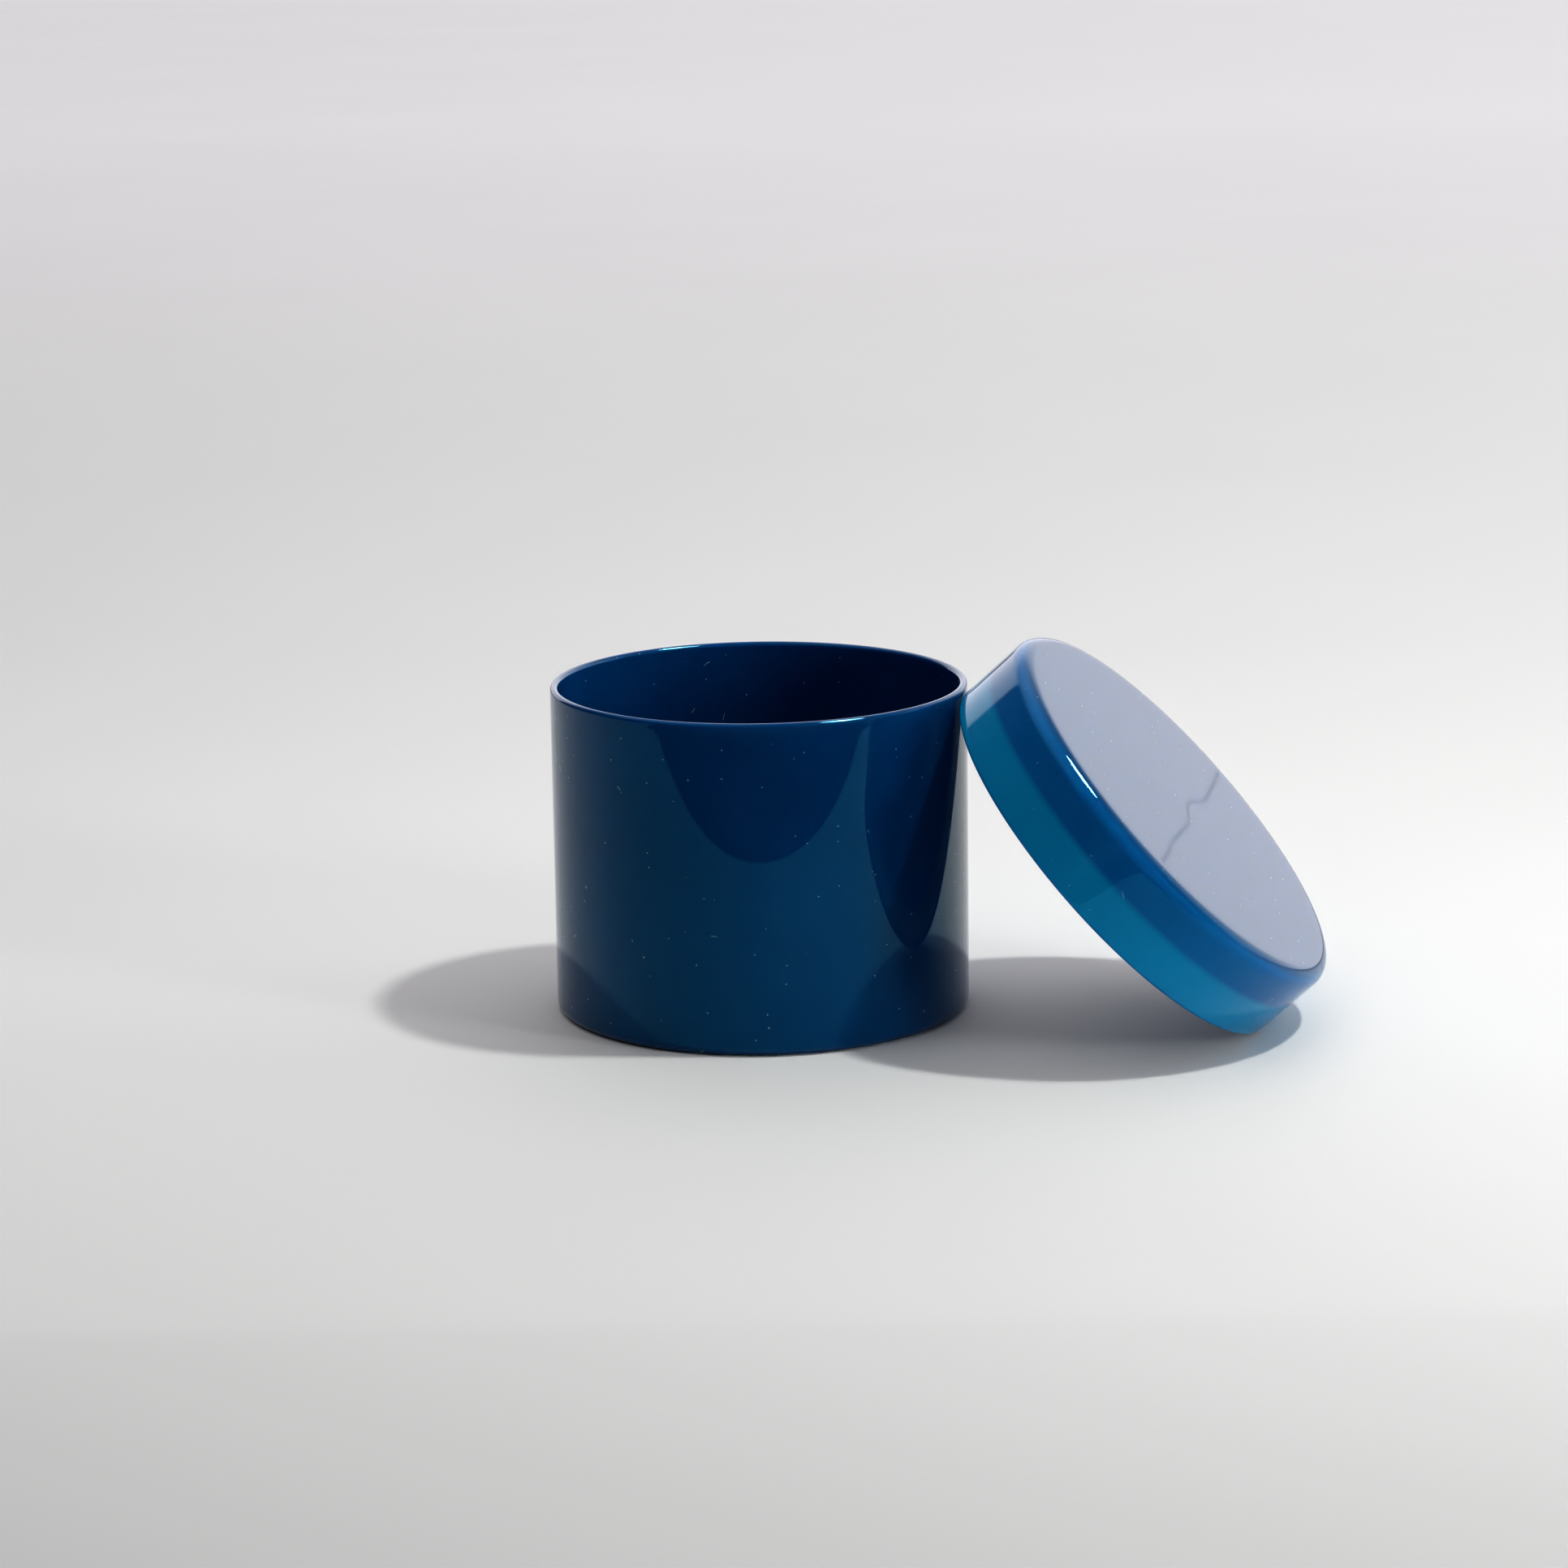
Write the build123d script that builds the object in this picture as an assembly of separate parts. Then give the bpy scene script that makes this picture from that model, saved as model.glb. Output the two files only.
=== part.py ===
from build123d import *
import math
import os

# Round lidded glass canister: an open cylindrical jar, a slip-over glass cap
# and the silicone sleeve that lines the cap's skirt.
# Millimetres. +Z is up, the origin is the centre of the jar's foot.
# The cap stands on its open edge at +X and leans back against the jar's wall.

# ---- jar -------------------------------------------------------------------
JAR_R = 50.0            # outside radius
JAR_H = 79.4            # foot to lip
JAR_WALL = 2.0          # side wall
JAR_FLOOR = 4.2         # glass under the contents
JAR_HEEL_R = 2.4        # outside corner between wall and foot
JAR_INNER_R = 6.0       # inside corner between wall and floor
PUNT_R = 41.0           # shallow recess in the underside
PUNT_DEPTH = 0.8
PUNT_CORNER = 0.7

# ---- cap -------------------------------------------------------------------
CAP_R = 53.06           # outside radius
CAP_H = 21.5            # closed face to open edge
CAP_WALL = 1.8          # skirt
CAP_FACE = 2.4          # closed face
CAP_CORNER = 3.8        # outside corner of the closed face
CAP_INNER_CORNER = 2.2  # inside corner of the closed face

# ---- silicone sleeve in the cap --------------------------------------------
SEAL_T = 0.60           # band thickness against the skirt
SEAL_RIB = 0.46         # how far each rib stands in from the band
SEAL_START = 1.3        # from the cap's open edge
SEAL_LEN = 8.6          # along the skirt
SEAL_RIBS = 3
SEAL_RIB_W = 1.5        # rib width at its root
SEAL_RIB_TIP = 0.6      # rib width at its crest

# ---- how the cap leans -----------------------------------------------------
LEAN_ELEV = 42.8        # cap axis above the horizontal, degrees
LEAN_GAP = 0.3          # cap edge to jar wall
FOOT_GAP = 0.02         # cap edge to the surface it stands on


def rounded_face(corners):
    """A face in the XZ plane from (x, z, radius) corners, each rounded by a
    tangent arc of its own radius."""
    n = len(corners)
    trimmed = []
    for i, (x, z, r) in enumerate(corners):
        px, pz, _ = corners[i - 1]
        nx, nz, _ = corners[(i + 1) % n]
        if r <= 0:
            trimmed.append(((x, z), None, (x, z)))
            continue
        ax, az = px - x, pz - z
        bx, bz = nx - x, nz - z
        la, lb = math.hypot(ax, az), math.hypot(bx, bz)
        ax, az, bx, bz = ax / la, az / la, bx / lb, bz / lb
        half = math.acos(ax * bx + az * bz) / 2
        t = r / math.tan(half)
        mx, mz = ax + bx, az + bz
        lm = math.hypot(mx, mz)
        mx, mz = mx / lm, mz / lm
        d = r / math.sin(half) - r
        trimmed.append((
            (x + ax * t, z + az * t),
            (x + mx * d, z + mz * d),
            (x + bx * t, z + bz * t),
        ))
    edges = []
    for i, (start, mid, end) in enumerate(trimmed):
        last = trimmed[i - 1][2]
        if math.dist(last, start) > 1e-6:
            edges.append(Edge.make_line((last[0], 0, last[1]), (start[0], 0, start[1])))
        if mid is not None:
            edges.append(Edge.make_three_point_arc(
                (start[0], 0, start[1]), (mid[0], 0, mid[1]), (end[0], 0, end[1])))
    return Face(Wire(edges))


def lathed(corners):
    return revolve(rounded_face(corners), axis=Axis.Z, revolution_arc=360)


def one_solid(shape):
    solids = shape.solids()
    assert len(solids) == 1, len(solids)
    return solids[0]


# Jar: foot ring, shallow punt, heel, straight wall and a fully rounded lip.
jar_in = JAR_R - JAR_WALL
jar = one_solid(lathed([
    (0.0, PUNT_DEPTH, 0),
    (PUNT_R - 1.2, PUNT_DEPTH, PUNT_CORNER),
    (PUNT_R, 0.0, 0.25),
    (JAR_R, 0.0, JAR_HEEL_R),
    (JAR_R, JAR_H, JAR_WALL / 2),
    (jar_in, JAR_H, JAR_WALL / 2),
    (jar_in, JAR_FLOOR, JAR_INNER_R),
    (0.0, JAR_FLOOR, 0),
]))

# Cap, drawn with its open edge at z = 0 and its closed face upward.
cap_in = CAP_R - CAP_WALL
cap = one_solid(lathed([
    (0.0, CAP_H - CAP_FACE, 0),
    (cap_in, CAP_H - CAP_FACE, CAP_INNER_CORNER),
    (cap_in, 0.0, CAP_WALL / 2),
    (CAP_R, 0.0, CAP_WALL / 2),
    (CAP_R, CAP_H, CAP_CORNER),
    (0.0, CAP_H, 0),
]))

# Sleeve: a band on the inside of the skirt with three low ribs towards the jar.
band_in = cap_in - SEAL_T
crest_in = band_in - SEAL_RIB
pitch = SEAL_LEN / SEAL_RIBS
ring = [
    (cap_in, SEAL_START, 0),
    (cap_in, SEAL_START + SEAL_LEN, 0),
    (band_in, SEAL_START + SEAL_LEN, 0.2),
]
for k in reversed(range(SEAL_RIBS)):
    c = SEAL_START + pitch * (k + 0.5)
    ring += [
        (band_in, c + SEAL_RIB_W / 2, 0.15),
        (crest_in, c + SEAL_RIB_TIP / 2, 0.12),
        (crest_in, c - SEAL_RIB_TIP / 2, 0.12),
        (band_in, c - SEAL_RIB_W / 2, 0.15),
    ]
ring.append((band_in, SEAL_START, 0.2))
seal = one_solid(lathed(ring))

# Leaning pose: the cap's lowest edge is on the surface, its highest edge is
# LEAN_GAP from the jar's wall, and its axis points away from the jar and up.
elev = math.radians(LEAN_ELEV)
edge_r = CAP_WALL / 2
edge_ring = CAP_R - edge_r
ring_x = JAR_R + LEAN_GAP + edge_r + edge_ring * math.sin(elev)
ring_z = FOOT_GAP + edge_r + edge_ring * math.cos(elev)
nx, nz = math.cos(elev), math.sin(elev)
lean = Plane(
    origin=(ring_x - edge_r * nx, 0, ring_z - edge_r * nz),
    x_dir=(0, 1, 0),
    z_dir=(nx, 0, nz),
)
lid = lean.location * cap
lid_seal = lean.location * seal

touch_z = ring_z + edge_ring * math.cos(elev)
print("cap axis origin %.3f 0 %.3f, leans on the wall at z %.2f" % (
    ring_x - edge_r * nx, ring_z - edge_r * nz, touch_z))
print("inside volume to the lip, ml: %.0f" % (math.pi * jar_in ** 2 * (JAR_H - JAR_FLOOR) / 1000))

os.makedirs("parts", exist_ok=True)
for name, solid in (("jar", jar), ("lid", lid), ("lid_seal", lid_seal)):
    solid.label = name
    export_step(solid, os.path.join("parts", name + ".step"))
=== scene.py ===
import math

import bpy
import numpy as np
from mathutils import Matrix, Vector


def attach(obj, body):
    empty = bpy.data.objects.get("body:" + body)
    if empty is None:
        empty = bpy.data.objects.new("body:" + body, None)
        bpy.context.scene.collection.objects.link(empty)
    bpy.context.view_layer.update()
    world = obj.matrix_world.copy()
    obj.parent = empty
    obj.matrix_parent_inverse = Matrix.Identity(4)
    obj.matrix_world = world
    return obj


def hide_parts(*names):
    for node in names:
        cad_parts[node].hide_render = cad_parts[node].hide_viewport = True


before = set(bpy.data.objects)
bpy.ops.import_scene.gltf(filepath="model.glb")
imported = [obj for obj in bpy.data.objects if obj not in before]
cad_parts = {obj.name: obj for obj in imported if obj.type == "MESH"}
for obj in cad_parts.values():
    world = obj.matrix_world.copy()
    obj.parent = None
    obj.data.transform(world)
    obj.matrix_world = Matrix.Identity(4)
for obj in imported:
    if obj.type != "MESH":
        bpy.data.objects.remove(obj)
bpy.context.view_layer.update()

MM = 0.001
SEG = 288                      # steps round every turned piece

# ---------------------------------------------------------------- dimensions
JAR_R, JAR_H, JAR_WALL, JAR_FLOOR = 50.0, 79.4, 2.0, 4.2
JAR_HEEL_R, JAR_INNER_R = 2.4, 6.0
PUNT_R, PUNT_DEPTH = 41.0, 0.8
CAP_R, CAP_H, CAP_WALL, CAP_FACE = 53.06, 21.5, 1.8, 2.4
CAP_CORNER, CAP_INNER_CORNER = 3.8, 2.2
SEAL_T, SEAL_RIB, SEAL_START, SEAL_LEN, SEAL_RIBS = 0.60, 0.46, 1.3, 8.6, 3
LEAN_ELEV, LEAN_GAP, FOOT_GAP = 42.8, 0.3, 0.02

elev = math.radians(LEAN_ELEV)
edge_r = CAP_WALL / 2
ring_r = CAP_R - edge_r
nx, nz = math.cos(elev), math.sin(elev)
cap_o = Vector((
    JAR_R + LEAN_GAP + edge_r + ring_r * math.sin(elev) - edge_r * nx,
    0.0,
    FOOT_GAP + edge_r + ring_r * math.cos(elev) - edge_r * nz,
))
# columns: the cap's own x (row +Y), y and z (its axis) in the row frame
cap_z = Vector((nx, 0, nz))
cap_x = Vector((0, 1, 0))
cap_y = cap_z.cross(cap_x)
cap_m = Matrix((
    (cap_x.x, cap_y.x, cap_z.x, cap_o.x * MM),
    (cap_x.y, cap_y.y, cap_z.y, cap_o.y * MM),
    (cap_x.z, cap_y.z, cap_z.z, cap_o.z * MM),
    (0, 0, 0, 1),
))


# ------------------------------------------------------------------- profiles
def rounded(corners, arc_steps=12, close=False):
    """(x, z, radius) corners as a polyline whose corners are tangent arcs."""
    out = []
    n = len(corners)
    for i, (x, z, r) in enumerate(corners):
        if r <= 0 or (not close and i in (0, n - 1)):
            out.append((x, z))
            continue
        px, pz, _ = corners[i - 1]
        qx, qz, _ = corners[(i + 1) % n]
        a = Vector((px - x, pz - z)).normalized()
        b = Vector((qx - x, qz - z)).normalized()
        half = math.acos(max(-1, min(1, a.dot(b)))) / 2
        t, d = r / math.tan(half), r / math.sin(half)
        c = Vector((x, z)) + (a + b).normalized() * d
        p0 = Vector((x, z)) + a * t - c
        p1 = Vector((x, z)) + b * t - c
        a0 = math.atan2(p0.y, p0.x)
        turn = math.atan2(p0.x * p1.y - p0.y * p1.x, p0.dot(p1))
        for k in range(arc_steps + 1):
            s = a0 + turn * k / arc_steps
            out.append((c.x + r * math.cos(s), c.y + r * math.sin(s)))
    slim = [out[0]]
    for p in out[1:]:
        if math.dist(p, slim[-1]) > 1e-4:
            slim.append(p)
    return slim


def spread(points, longest):
    """Adds points on long straight stretches, so that small waves have something to move."""
    out = [points[0]]
    for a, b in zip(points, points[1:]):
        n = max(1, math.ceil(math.dist(a, b) / longest))
        out += [(a[0] + (b[0] - a[0]) * k / n, a[1] + (b[1] - a[1]) * k / n) for k in range(1, n + 1)]
    return out


def lathe(name, points, bumps=None, closed=False):
    """Turns (radius, z) points in millimetres round Z. Points on the axis become one vertex.
    bumps(r, angle, z) gives (dr, dz) in millimetres."""
    verts, rows = [], []
    for r, z in points:
        if r < 1e-6:
            dr, dz = bumps(0.0, 0.0, z) if bumps else (0, 0)
            rows.append([len(verts)])
            verts.append((0.0, 0.0, (z + dz) * MM))
            continue
        row = []
        for k in range(SEG):
            a = 2 * math.pi * k / SEG
            dr, dz = bumps(r, a, z) if bumps else (0, 0)
            row.append(len(verts))
            verts.append(((r + dr) * MM * math.cos(a), (r + dr) * MM * math.sin(a), (z + dz) * MM))
        rows.append(row)
    faces = []
    pairs = list(zip(rows, rows[1:])) + ([(rows[-1], rows[0])] if closed else [])
    for lo, hi in pairs:
        for k in range(SEG):
            j = (k + 1) % SEG
            if len(lo) == 1 and len(hi) == 1:
                continue
            if len(lo) == 1:
                faces.append((lo[0], hi[j], hi[k]))
            elif len(hi) == 1:
                faces.append((lo[k], lo[j], hi[0]))
            else:
                faces.append((lo[k], lo[j], hi[j], hi[k]))
    mesh = bpy.data.meshes.new(name)
    mesh.from_pydata(verts, [], faces)
    mesh.validate()
    mesh.shade_smooth()
    obj = bpy.data.objects.new(name, mesh)
    bpy.context.scene.collection.objects.link(obj)
    return obj


def outward(obj):
    """Turns the faces outward if the closed mesh's volume comes out negative."""
    mesh = obj.data
    v = np.zeros(len(mesh.vertices) * 3)
    mesh.vertices.foreach_get("co", v)
    v = v.reshape(-1, 3)
    mesh.calc_loop_triangles()
    t = np.array([tri.vertices[:] for tri in mesh.loop_triangles])
    vol = np.einsum("ij,ij->i", v[t[:, 0]], np.cross(v[t[:, 1]], v[t[:, 2]])).sum() / 6
    if vol < 0:
        mesh.flip_normals()
    return abs(vol) * 1e6


# ----------------------------------------------------------------------- jar
def jar_bumps(r, a, z):
    """Pressed and fire-polished glass is never quite even: slow waves of some hundredths
    of a millimetre on the outside, a little more on the inside."""
    w = 0.022 * math.sin(2 * a + 0.7) + 0.012 * math.sin(3 * a + z * 0.05 + 1.9) + 0.008 * math.sin(5 * a - z * 0.11)
    up = max(0.0, min(1.0, z / 12))
    if r > JAR_R - 0.9:
        return (-abs(w) * up, 0.0)
    if z > JAR_H - 1.2:
        return (0.0, -0.05 * (1 + math.sin(2 * a + 0.4)) / 2)
    inner = 2.2 * w + 0.02 * math.sin(4 * a + 0.09 * z)
    if z > JAR_FLOOR + 0.5 and r > 30:
        return (inner, 0.0)
    if z >= JAR_FLOOR - 0.1:
        return (0.0, 0.06 * math.cos(r * 0.16 + 0.5) * (1 - r / 60))
    return (0.0, 0.0)


jar_in = JAR_R - JAR_WALL
jar_profile = rounded([
    (0.0, PUNT_DEPTH, 0),
    (PUNT_R - 1.2, PUNT_DEPTH, 0.7),
    (PUNT_R, 0.0, 0.25),
    (JAR_R, 0.0, JAR_HEEL_R),
    (JAR_R, JAR_H, JAR_WALL / 2),
    (jar_in, JAR_H, JAR_WALL / 2),
    (jar_in, JAR_FLOOR, JAR_INNER_R),
    (0.0, JAR_FLOOR, 0),
], arc_steps=14)
jar = lathe("glass_jar", spread(jar_profile, 2.6), jar_bumps)
jar_vol = outward(jar)
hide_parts("jar")

# ----------------------------------------------------------------------- cap
def cap_bumps(r, a, z):
    """The closed face has a slight dish with a low swelling in its middle, left by the press."""
    if z > CAP_H - 0.02 and r < CAP_R - 3.0:
        s = r / 49.0
        dish = -0.034 * (1 - s * s) ** 2 if s < 1 else 0.0
        knob = 0.030 * math.exp(-((r / 9.0) ** 2))
        wave = 0.010 * math.cos(3 * a + 0.6) * s * s * (1 - s) * 4 if s < 1 else 0.0
        return (0.0, min(0.0, dish + knob + wave))
    if r > CAP_R - 0.6 and z > 1.2:
        w = 0.015 * math.sin(2 * a + 1.1) + 0.010 * math.sin(3 * a + 0.2 * z)
        return (-abs(w), 0.0)
    return (0.0, 0.0)


cap_in = CAP_R - CAP_WALL
cap_profile = rounded([
    (0.0, CAP_H - CAP_FACE, 0),
    (cap_in, CAP_H - CAP_FACE, CAP_INNER_CORNER),
    (cap_in, 0.0, CAP_WALL / 2),
    (CAP_R, 0.0, CAP_WALL / 2),
    (CAP_R, CAP_H, CAP_CORNER),
    (0.0, CAP_H, 0),
], arc_steps=16)
cap = lathe("glass_cap", spread(cap_profile, 2.2), cap_bumps)
outward(cap)
cap.data.transform(cap_m)
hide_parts("lid")

# ---------------------------------------------------------------------- seal
band_in = cap_in - SEAL_T
crest_in = band_in - SEAL_RIB
pitch = SEAL_LEN / SEAL_RIBS
ring = [
    (cap_in - 0.01, SEAL_START, 0.15),
    (cap_in - 0.01, SEAL_START + SEAL_LEN, 0.15),
    (band_in, SEAL_START + SEAL_LEN, 0.2),
]
for k in reversed(range(SEAL_RIBS)):
    c = SEAL_START + pitch * (k + 0.5)
    ring += [
        (band_in, c + 0.75, 0.15),
        (crest_in, c + 0.30, 0.12),
        (crest_in, c - 0.30, 0.12),
        (band_in, c - 0.75, 0.15),
    ]
ring.append((band_in, SEAL_START, 0.2))
seal = lathe("silicone_sleeve", rounded(ring, arc_steps=4, close=True), closed=True)
outward(seal)
seal.data.transform(cap_m)
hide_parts("lid_seal")

bpy.context.view_layer.update()
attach(jar, "jar_body")
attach(cap, "lid_body")
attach(seal, "lid_body")


# ------------------------------------------------------------------ materials
def new_material(name):
    m = bpy.data.materials.new(name)
    m.use_nodes = True
    nt = m.node_tree
    nt.nodes.clear()
    out = nt.nodes.new("ShaderNodeOutputMaterial")
    bsdf = nt.nodes.new("ShaderNodeBsdfPrincipled")
    nt.links.new(bsdf.outputs[0], out.inputs[0])
    return m, nt, bsdf


def node(nt, kind, **inputs):
    n = nt.nodes.new(kind)
    for k, v in inputs.items():
        if k in n.inputs:
            n.inputs[k].default_value = v
        else:
            setattr(n, k, v)
    return n


def noise(nt, coord, scale, detail=2.0, rough=0.5):
    n = nt.nodes.new("ShaderNodeTexNoise")
    n.inputs["Scale"].default_value = scale
    n.inputs["Detail"].default_value = detail
    n.inputs["Roughness"].default_value = rough
    nt.links.new(coord, n.inputs["Vector"])
    return n.outputs["Fac"]


def ramp(nt, fac, stops):
    n = nt.nodes.new("ShaderNodeValToRGB")
    while len(n.color_ramp.elements) > 1:
        n.color_ramp.elements.remove(n.color_ramp.elements[-1])
    n.color_ramp.elements[0].position = stops[0][0]
    n.color_ramp.elements[0].color = (*stops[0][1], 1)
    for p, c in stops[1:]:
        e = n.color_ramp.elements.new(p)
        e.color = (*c, 1)
    nt.links.new(fac, n.inputs[0])
    return n.outputs[0]


def maths(nt, op, a, b=None, clamp=False):
    n = nt.nodes.new("ShaderNodeMath")
    n.operation = op
    n.use_clamp = clamp
    for i, v in enumerate((a, b)):
        if v is None:
            continue
        if isinstance(v, (int, float)):
            n.inputs[i].default_value = v
        else:
            nt.links.new(v, n.inputs[i])
    return n.outputs[0]


def mix_colour(nt, fac, a, b):
    n = nt.nodes.new("ShaderNodeMix")
    n.data_type = "RGBA"
    for sock, v in ((n.inputs[0], fac), (n.inputs[6], a), (n.inputs[7], b)):
        if isinstance(v, (int, float)):
            sock.default_value = v
        elif isinstance(v, tuple):
            sock.default_value = (*v, 1)
        else:
            nt.links.new(v, sock)
    return n.outputs[2]


def dot_with(nt, coord, direction):
    n = nt.nodes.new("ShaderNodeVectorMath")
    n.operation = "DOT_PRODUCT"
    nt.links.new(coord, n.inputs[0])
    n.inputs[1].default_value = tuple(direction)
    return n.outputs["Value"]


def specks(nt, coord, scale, size, keep):
    """1 on sparse round specks: one in some cells of a 3-D pattern."""
    v = nt.nodes.new("ShaderNodeTexVoronoi")
    v.feature = "F1"
    v.inputs["Scale"].default_value = scale
    v.inputs["Randomness"].default_value = 1.0
    nt.links.new(coord, v.inputs["Vector"])
    near = maths(nt, "LESS_THAN", v.outputs["Distance"], size)
    sep = nt.nodes.new("ShaderNodeSeparateColor")
    nt.links.new(v.outputs["Color"], sep.inputs[0])
    some = maths(nt, "LESS_THAN", sep.outputs[0], keep)
    return maths(nt, "MULTIPLY", near, some)


def fibres(nt, coord, scale, patch, keep):
    """1 on short curved hairs: thin contour lines of a noise, kept only inside sparse small patches."""
    line = maths(nt, "LESS_THAN", maths(nt, "ABSOLUTE", maths(nt, "SUBTRACT", noise(nt, coord, scale * 0.9, 0.0), 0.5)), 0.012)
    return maths(nt, "MULTIPLY", line, specks(nt, coord, scale, patch, keep))


def blue_glass(name, deep, pale, scatter, band=None):
    """Coloured glass, deep blue all through. A tinted facing reflection keeps the pane blue where
    it mirrors the table; the mirror turns white only at grazing angles."""
    m, nt, bsdf = new_material(name)
    coord = nt.nodes.new("ShaderNodeTexCoord").outputs["Object"]
    # slow change of depth in the colour, as where the glass is a little thicker
    depth = ramp(nt, noise(nt, coord, 26.0, 3.0), [(0.32, (0, 0, 0)), (0.70, (1, 1, 1))])
    tint = mix_colour(nt, depth, deep, pale)
    if band:
        # the sealing sleeve inside the skirt shows through as a paler, greener band; its colour is partly the
        # sleeve's own paleness, partly painted glow of light coming through the skirt
        along, band_glow_colour = band
        cloud = maths(nt, "ADD", 0.82, maths(nt, "MULTIPLY", noise(nt, coord, 240.0, 4.0, 0.6), 0.36))
        tint = mix_colour(nt, maths(nt, "MULTIPLY", along(nt, coord), cloud, clamp=True), tint, band_glow_colour)
        # the closed face painted a deeper blue: painted shade
        tint = mix_colour(nt, maths(nt, "MULTIPLY", painted_shade_on_face(nt, coord), 0.85), tint, (0.0002, 0.022, 0.075))
    # dust and lint: fine specks, fewer large ones, a few short hairs
    fine = specks(nt, coord, 430.0, 0.075, 0.28)
    large = specks(nt, coord, 170.0, 0.040, 0.24)
    dust = maths(nt, "MAXIMUM", maths(nt, "MAXIMUM", fine, large), fibres(nt, coord, 260.0, 0.24, 0.05))
    tint = mix_colour(nt, maths(nt, "MULTIPLY", dust, 0.42), tint, (0.44, 0.56, 0.62))
    nt.links.new(tint, bsdf.inputs["Base Color"])
    smear = ramp(nt, noise(nt, coord, 60.0, 5.0, 0.6), [(0.45, (0.018, 0.018, 0.018)), (0.75, (0.040, 0.040, 0.040))])
    rough = maths(nt, "ADD", smear, maths(nt, "MULTIPLY", dust, 0.5))
    nt.links.new(rough, bsdf.inputs["Roughness"])
    bump = nt.nodes.new("ShaderNodeBump")
    bump.inputs["Strength"].default_value = 0.05
    bump.inputs["Distance"].default_value = 0.0004
    nt.links.new(noise(nt, coord, 34.0, 1.0), bump.inputs["Height"])
    nt.links.new(bump.outputs[0], bsdf.inputs["Normal"])
    bsdf.inputs["IOR"].default_value = 1.54
    bsdf.inputs["Specular Tint"].default_value = (0.10, 0.58, 0.84, 1)
    bsdf.inputs["Subsurface Weight"].default_value = scatter
    bsdf.inputs["Subsurface Radius"].default_value = (0.10, 0.75, 1.0)
    bsdf.inputs["Subsurface Scale"].default_value = 0.004
    return m


def along_cap(nt, coord):
    """Distance from the cap's open edge along its own axis, in metres."""
    return maths(nt, "SUBTRACT", dot_with(nt, coord, cap_z), (cap_o * MM).dot(cap_z))


def sleeve_band_with_glow(nt, coord):
    """1 where the sleeve sits behind the skirt: there the skirt is painted paler, partly for the sleeve, partly as
    painted glow of light through the skirt.
    """
    z = along_cap(nt, coord)
    up = maths(nt, "DIVIDE", maths(nt, "SUBTRACT", z, (SEAL_START - 1.2) * MM), 0.9 * MM, clamp=True)
    down = maths(nt, "DIVIDE", maths(nt, "SUBTRACT", (SEAL_START + SEAL_LEN + 1.6) * MM, z), 1.9 * MM, clamp=True)
    return maths(nt, "MULTIPLY", up, down)


def painted_shade_on_face(nt, coord):
    """1 on the cap's closed face. Its glass is thicker, but the deeper blue painted there is painted shade that keeps
    the lamp-facing face dark.
    """
    return maths(nt, "DIVIDE", maths(nt, "SUBTRACT", along_cap(nt, coord), (CAP_H - 1.6) * MM), 1.5 * MM, clamp=True)


def silicone():
    m, nt, bsdf = new_material("milky_silicone")
    coord = nt.nodes.new("ShaderNodeTexCoord").outputs["Object"]
    grain = noise(nt, coord, 900.0, 4.0, 0.7)
    cloud = noise(nt, coord, 45.0, 3.0)
    base = ramp(nt, maths(nt, "ADD", maths(nt, "MULTIPLY", grain, 0.5), maths(nt, "MULTIPLY", cloud, 0.5)),
                [(0.35, (0.74, 0.84, 0.86)), (0.65, (0.90, 0.95, 0.96))])
    nt.links.new(base, bsdf.inputs["Base Color"])
    nt.links.new(ramp(nt, cloud, [(0.3, (0.42, 0.42, 0.42)), (0.7, (0.58, 0.58, 0.58))]), bsdf.inputs["Roughness"])
    bump = nt.nodes.new("ShaderNodeBump")
    bump.inputs["Strength"].default_value = 0.25
    bump.inputs["Distance"].default_value = 0.0001
    nt.links.new(grain, bump.inputs["Height"])
    nt.links.new(bump.outputs[0], bsdf.inputs["Normal"])
    bsdf.inputs["Transmission Weight"].default_value = 0.45
    bsdf.inputs["IOR"].default_value = 1.41
    return m


jar.data.materials.append(blue_glass("blue_glass_jar", (0.0003, 0.032, 0.112), (0.0005, 0.044, 0.142), 1.0))
# the cap's band colour is the sleeve's own paleness plus painted glow of light through the skirt
cap.data.materials.append(blue_glass("blue_glass_cap", (0.0006, 0.097, 0.280), (0.0009, 0.120, 0.325), 1.0,
                                     band=(sleeve_band_with_glow, (0.0018, 0.232, 0.440))))
seal.data.materials.append(silicone())

# ---------------------------------------------------------------------- stage
TURN = math.radians(13.0)      # the row's +X points from the jar to the cap


def turned(x, y, z):
    c, s = math.cos(TURN), math.sin(TURN)
    return Vector((x * c - y * s, x * s + y * c, z))


BACKDROP = (0.725, 0.722, 0.73)


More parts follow.
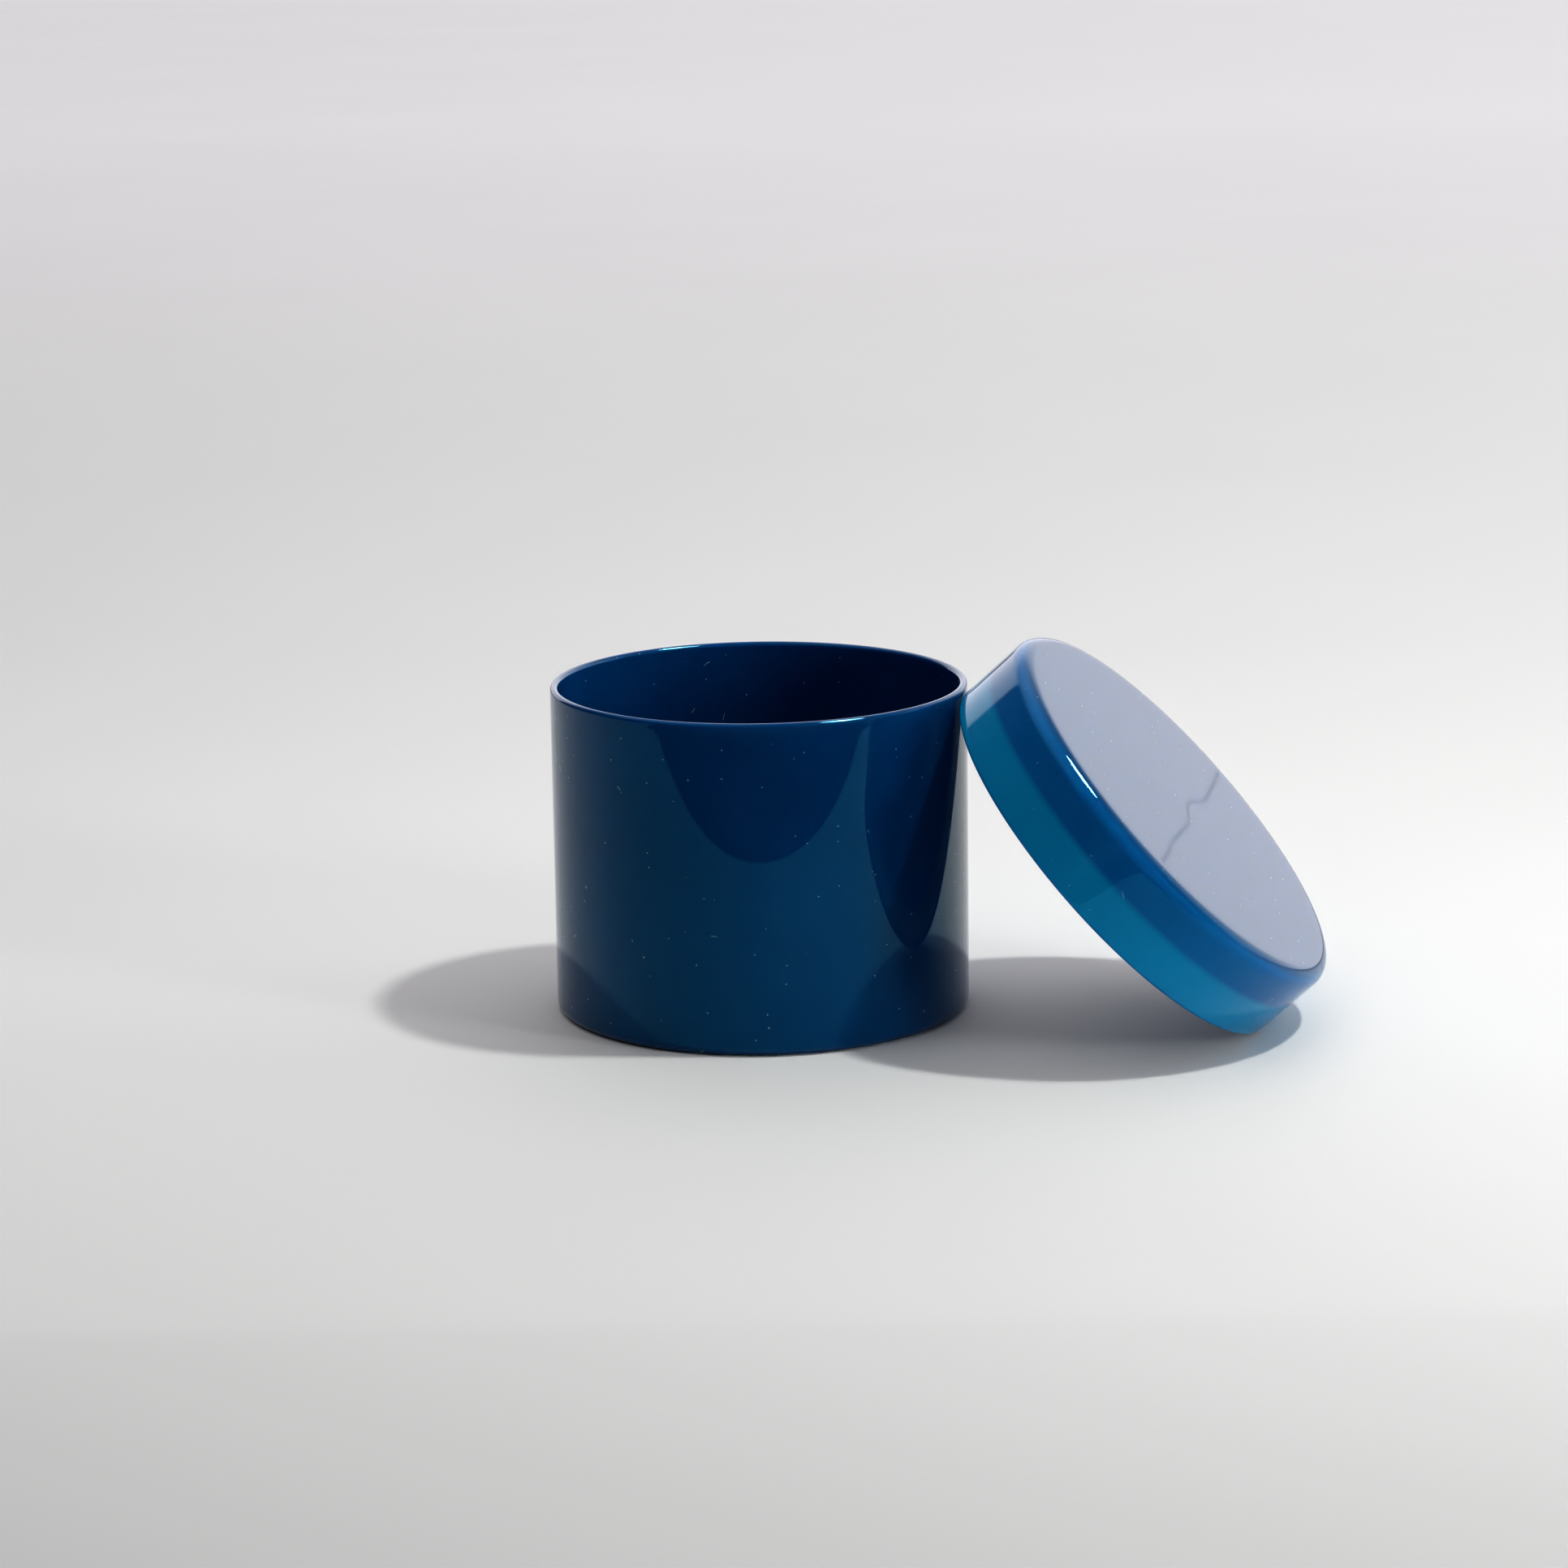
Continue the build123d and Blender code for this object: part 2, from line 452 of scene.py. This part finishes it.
def paper():
    """A wide pale sheet that the object stands on, its colour painted darker towards the front, lighter towards the
    back and to the right: painted light and shade.
    """
    verts, faces = [], []
    n, half = 24, 5.0
    for i in range(n + 1):
        for j in range(n + 1):
            verts.append(turned(-half + 2 * half * j / n, -half + 2 * half * i / n, 0.0))
    for i in range(n):
        for j in range(n):
            k = i * (n + 1) + j
            faces.append((k, k + 1, k + n + 2, k + n + 1))
    mesh = bpy.data.meshes.new("paper")
    mesh.from_pydata([tuple(v) for v in verts], [], faces)
    mesh.shade_smooth()
    obj = bpy.data.objects.new("paper", mesh)
    bpy.context.scene.collection.objects.link(obj)
    m, nt, bsdf = new_material("pale_paper")
    coord = nt.nodes.new("ShaderNodeTexCoord").outputs["Object"]
    base = ramp(nt, noise(nt, coord, 5.0, 2.0), [(0.3, (0.985, 0.985, 0.985)), (0.7, (1, 1, 1))])
    away, side = (dot_with(nt, coord, turned(*v)) for v in ((0, 1, 0), (1, 0, 0)))
    # painted light and shade: the sheet's colour grows darker towards the front and lighter towards the back
    painted_light_front_to_back = ramp(nt, maths(nt, "DIVIDE", maths(nt, "ADD", away, 0.5), 5.0, clamp=True), [
        (k, tuple(v * c for c in (0.691, 0.718, 0.703)))
        for k, v in ((0.02, 0.66), (0.056, 0.80), (0.11, 0.91), (0.19, 0.91), (0.26, 0.97), (0.43, 1.20), (0.60, 1.36), (0.9, 1.37))])
    # painted light: the sheet's colour grows lighter to the right
    painted_light_to_right = maths(nt, "DIVIDE", side, maths(nt, "MAXIMUM", maths(nt, "ADD", away, 1.11), 0.4))
    painted_light_to_right = maths(nt, "ADD", 1.0, maths(nt, "MULTIPLY", maths(nt, "MINIMUM", maths(nt, "MAXIMUM", painted_light_to_right, -0.25), 0.25), 0.40))
    scaled = nt.nodes.new("ShaderNodeVectorMath")
    scaled.operation = "MULTIPLY"
    nt.links.new(base, scaled.inputs[0])
    nt.links.new(painted_light_front_to_back, scaled.inputs[1])
    paper_with_painted_light = nt.nodes.new("ShaderNodeVectorMath")
    paper_with_painted_light.operation = "SCALE"
    nt.links.new(scaled.outputs[0], paper_with_painted_light.inputs[0])
    nt.links.new(painted_light_to_right, paper_with_painted_light.inputs["Scale"])
    nt.links.new(paper_with_painted_light.outputs[0], bsdf.inputs["Base Color"])
    bsdf.inputs["Roughness"].default_value = 0.75
    bsdf.inputs["Specular IOR Level"].default_value = 0.25

    # far from the object the sheet melts into the backdrop, so that no horizon line shows
    def rise(value, low, high):
        t = maths(nt, "DIVIDE", maths(nt, "SUBTRACT", value, low), high - low, clamp=True)
        return maths(nt, "MULTIPLY", maths(nt, "MULTIPLY", t, t), maths(nt, "SUBTRACT", 3.0, maths(nt, "MULTIPLY", t, 2.0)))
    outside = maths(nt, "SUBTRACT", maths(nt, "ABSOLUTE", side),
                    maths(nt, "MULTIPLY", maths(nt, "MAXIMUM", maths(nt, "ADD", away, 1.11), 0.0), 0.22))
    melt = maths(nt, "MAXIMUM", rise(outside, 0.10, 1.8),
                 maths(nt, "MAXIMUM", rise(maths(nt, "MULTIPLY", away, -1.0), 0.6, 2.8), rise(away, 4.1, 4.95)))
    seen = nt.nodes.new("ShaderNodeLightPath").outputs["Is Camera Ray"]
    glow = nt.nodes.new("ShaderNodeEmission")
    glow.inputs[0].default_value = (*BACKDROP, 1)
    blend = nt.nodes.new("ShaderNodeMixShader")
    nt.links.new(maths(nt, "MULTIPLY", melt, seen), blend.inputs[0])
    nt.links.new(bsdf.outputs[0], blend.inputs[1])
    nt.links.new(glow.outputs[0], blend.inputs[2])
    nt.links.new(blend.outputs[0], next(n for n in nt.nodes if n.type == "OUTPUT_MATERIAL").inputs[0])
    mesh.materials.append(m)
    return obj


paper()


def flag():
    """A dark cloth on the floor in front of the object, thinning out towards the front. It
    shows only in reflections."""
    mesh = bpy.data.meshes.new("dark_flag")
    ring = [(-0.42, -0.235), (0.42, -0.235), (0.42, -0.95), (-0.42, -0.95)]
    mesh.from_pydata([tuple(turned(x, y, 0.0015)) for x, y in ring], [], [(0, 1, 2, 3)])
    obj = bpy.data.objects.new("dark_flag", mesh)
    bpy.context.scene.collection.objects.link(obj)
    m, nt, bsdf = new_material("dark_cloth")
    bsdf.inputs["Base Color"].default_value = (0.02, 0.02, 0.022, 1)
    bsdf.inputs["Roughness"].default_value = 0.9
    bsdf.inputs["Specular IOR Level"].default_value = 0.0
    away = dot_with(nt, nt.nodes.new("ShaderNodeTexCoord").outputs["Object"], turned(0, 1, 0))
    thin = maths(nt, "DIVIDE", maths(nt, "SUBTRACT", maths(nt, "MULTIPLY", away, -1.0), 0.40), 0.50, clamp=True)
    blend = nt.nodes.new("ShaderNodeMixShader")
    nt.links.new(maths(nt, "POWER", thin, 0.6), blend.inputs[0])
    nt.links.new(bsdf.outputs[0], blend.inputs[1])
    nt.links.new(nt.nodes.new("ShaderNodeBsdfTransparent").outputs[0], blend.inputs[2])
    nt.links.new(blend.outputs[0], next(n for n in nt.nodes if n.type == "OUTPUT_MATERIAL").inputs[0])
    mesh.materials.append(m)
    obj.visible_camera = False
    obj.visible_diffuse = False
    obj.visible_transmission = False
    obj.visible_shadow = False


flag()

WALL_AZ, WALL_EDGE = 25.0, 0.42       # degrees right of straight back, cosine of its half width
WALL_LIGHT, SIDE_LIGHT, TOP_LIGHT = 1.26, 0.19, 0.33
SEAM = Vector((-0.43478, 0.0, 0.90054))  # plane of the thin seam in the wall of light

world = bpy.data.worlds.new("studio")
bpy.context.scene.world = world
world.use_nodes = True
wn = world.node_tree
wn.nodes.clear()
w_out = wn.nodes.new("ShaderNodeOutputWorld")
w_bg = wn.nodes.new("ShaderNodeBackground")
w_seen = wn.nodes.new("ShaderNodeBackground")
w_mix = wn.nodes.new("ShaderNodeMixShader")
w_path = wn.nodes.new("ShaderNodeLightPath")
wn.links.new(w_path.outputs["Is Camera Ray"], w_mix.inputs[0])
wn.links.new(w_bg.outputs[0], w_mix.inputs[1])
wn.links.new(w_seen.outputs[0], w_mix.inputs[2])
wn.links.new(w_mix.outputs[0], w_out.inputs[0])
w_seen.inputs["Color"].default_value = (*BACKDROP, 1)
w_seen.inputs["Strength"].default_value = 1.0
w_dir = wn.nodes.new("ShaderNodeTexCoord").outputs["Generated"]


def step(value, low, high, a=0.0, b=1.0):
    n = wn.nodes.new("ShaderNodeMapRange")
    n.interpolation_type = "SMOOTHSTEP"
    for i, v in enumerate((low, high, a, b)):
        n.inputs[i + 1].default_value = v
    wn.links.new(value, n.inputs[0])
    return n.outputs[0]


# a wide bright wall of soft light behind the object and to its right, dimmer sides and top
w_sep = wn.nodes.new("ShaderNodeSeparateXYZ")
wn.links.new(w_dir, w_sep.inputs[0])
w_x, w_y, w_z = w_sep.outputs
wall_at = turned(math.sin(math.radians(WALL_AZ)), math.cos(math.radians(WALL_AZ)), 0)
across = maths(wn, "ADD", maths(wn, "MULTIPLY", w_x, wall_at.x), maths(wn, "MULTIPLY", w_y, wall_at.y))
flat = maths(wn, "SQRT", maths(wn, "MAXIMUM", maths(wn, "SUBTRACT", 1.0, maths(wn, "MULTIPLY", w_z, w_z)), 1e-4))
across = maths(wn, "DIVIDE", across, flat)
wall = maths(wn, "MULTIPLY", step(across, WALL_EDGE - 0.03, WALL_EDGE + 0.03),
             maths(wn, "MULTIPLY", step(w_z, 0.015, 0.045), step(w_z, 0.40, 0.80, 1.0, 0.0)))
seam = maths(wn, "LESS_THAN", maths(wn, "ABSOLUTE", dot_with(wn, w_dir, SEAM)), 0.00045)
wall = maths(wn, "MULTIPLY", wall, maths(wn, "SUBTRACT", 1.0, maths(wn, "MULTIPLY", seam, 0.35)))
rightward = maths(wn, "ADD", 1.0, maths(wn, "MULTIPLY", dot_with(wn, w_dir, turned(1, 0, 0)), 0.85))
above = maths(wn, "MULTIPLY", step(w_z, 0.55, 0.85), step(dot_with(wn, w_dir, turned(-0.86, 0.5, 0)), -0.30, 0.22, 0.35, 2.6))
light = maths(wn, "ADD", maths(wn, "MULTIPLY", wall, WALL_LIGHT),
              maths(wn, "ADD", maths(wn, "MULTIPLY", rightward, SIDE_LIGHT), maths(wn, "MULTIPLY", above, TOP_LIGHT)))
w_bg.inputs["Color"].default_value = (1.0, 0.945, 0.985, 1)
wn.links.new(light, w_bg.inputs["Strength"])


def area(name, place, aim, size, power, colour=(1, 1, 1), shape="DISK", size_y=None):
    data = bpy.data.lights.new(name, "AREA")
    data.shape = shape
    data.size = size
    if size_y:
        data.size_y = size_y
    data.energy = power
    data.color = colour
    obj = bpy.data.objects.new(name, data)
    bpy.context.scene.collection.objects.link(obj)
    obj.location = place
    obj.rotation_mode = "QUATERNION"
    obj.rotation_quaternion = (aim - place).to_track_quat("-Z", "Y")
    return obj


aim = turned(0.02, 0, 0.04)
area("key", aim + turned(0.66, -0.10, 1.34), aim, 0.11, 11.0, (1.0, 0.99, 0.97))
fill = area("fill", aim + turned(1.15, -0.72, 0.36), aim, 0.4, 0.30, (0.97, 0.98, 1.0))
fill.visible_glossy = False
fill.data.spread = math.radians(36)
# the cloth round the key lamp: it glows in the glass's highlights and lights nothing
glow = area("key_glow", aim + turned(0.67, -0.10, 1.37), aim, 0.42, 32.0, (1.0, 0.97, 0.96))
glow.visible_diffuse = False
glow.visible_transmission = False

bpy.context.scene.view_settings.view_transform = "Standard"
bpy.context.scene.view_settings.look = "Medium High Contrast"

# --------------------------------------------------------------------- camera
yaw, pitch, roll = math.radians(0.121), math.radians(12.807), math.radians(-0.847)
fwd = Vector((math.sin(yaw) * math.cos(pitch), math.cos(yaw) * math.cos(pitch), -math.sin(pitch)))
right = fwd.cross(Vector((0, 0, 1))).normalized()
up = right.cross(fwd)
r2 = math.cos(roll) * right + math.sin(roll) * up
u2 = -math.sin(roll) * right + math.cos(roll) * up
cam_rot = Matrix((
    (r2.x, u2.x, -fwd.x, 0),
    (r2.y, u2.y, -fwd.y, 0),
    (r2.z, u2.z, -fwd.z, 0),
    (0, 0, 0, 1),
))
cam_data = bpy.data.cameras.new("camera")
cam_data.sensor_width = 36.0
cam_data.lens = 36.0 * 5842 / 1932
cam_data.clip_start, cam_data.clip_end = 0.05, 20
cam = bpy.data.objects.new("camera", cam_data)
bpy.context.scene.collection.objects.link(cam)
cam.matrix_world = (
    Matrix.Rotation(TURN, 4, "Z")
    @ Matrix.Translation((0.0034, -1.1132, 0.3070))
    @ cam_rot
)
bpy.context.scene.camera = cam

bpy.context.view_layer.update()
print("jar glass, cm3", round(jar_vol, 2))
